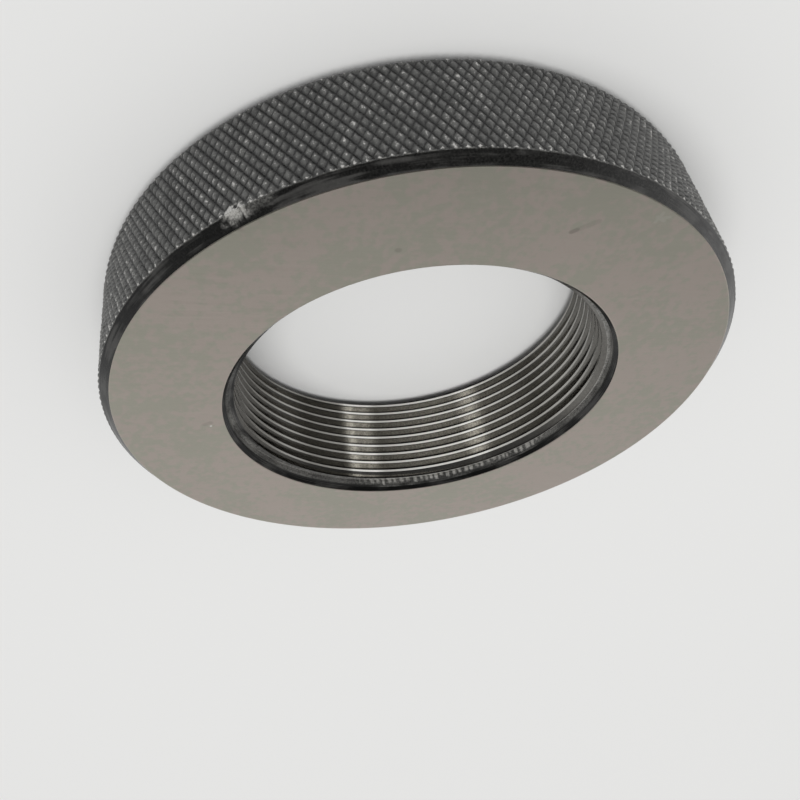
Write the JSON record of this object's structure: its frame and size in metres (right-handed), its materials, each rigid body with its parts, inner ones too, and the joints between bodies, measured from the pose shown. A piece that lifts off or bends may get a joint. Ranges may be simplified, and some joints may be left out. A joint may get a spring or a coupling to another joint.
{
  "type": "thread ring gauge",
  "caption": "Solid steel ring with ground flat faces, chamfered and knurled rim, and a fine right-hand thread through its bore for checking external threads.",
  "frame": {"origin": "centre of the bore on the lower ground face", "axes": "+Z along the thread's axis, out through the upper ground face; the part lies flat on its lower face"},
  "size_m": [0.162, 0.162, 0.032],
  "materials": {
    "gauge_steel": "ground faces and thread, black oxide on the chamfers and the knurled rim"
  },
  "bodies": {
    "root": {"gauge_ring": "gauge_steel"}
  },
  "joints": []
}
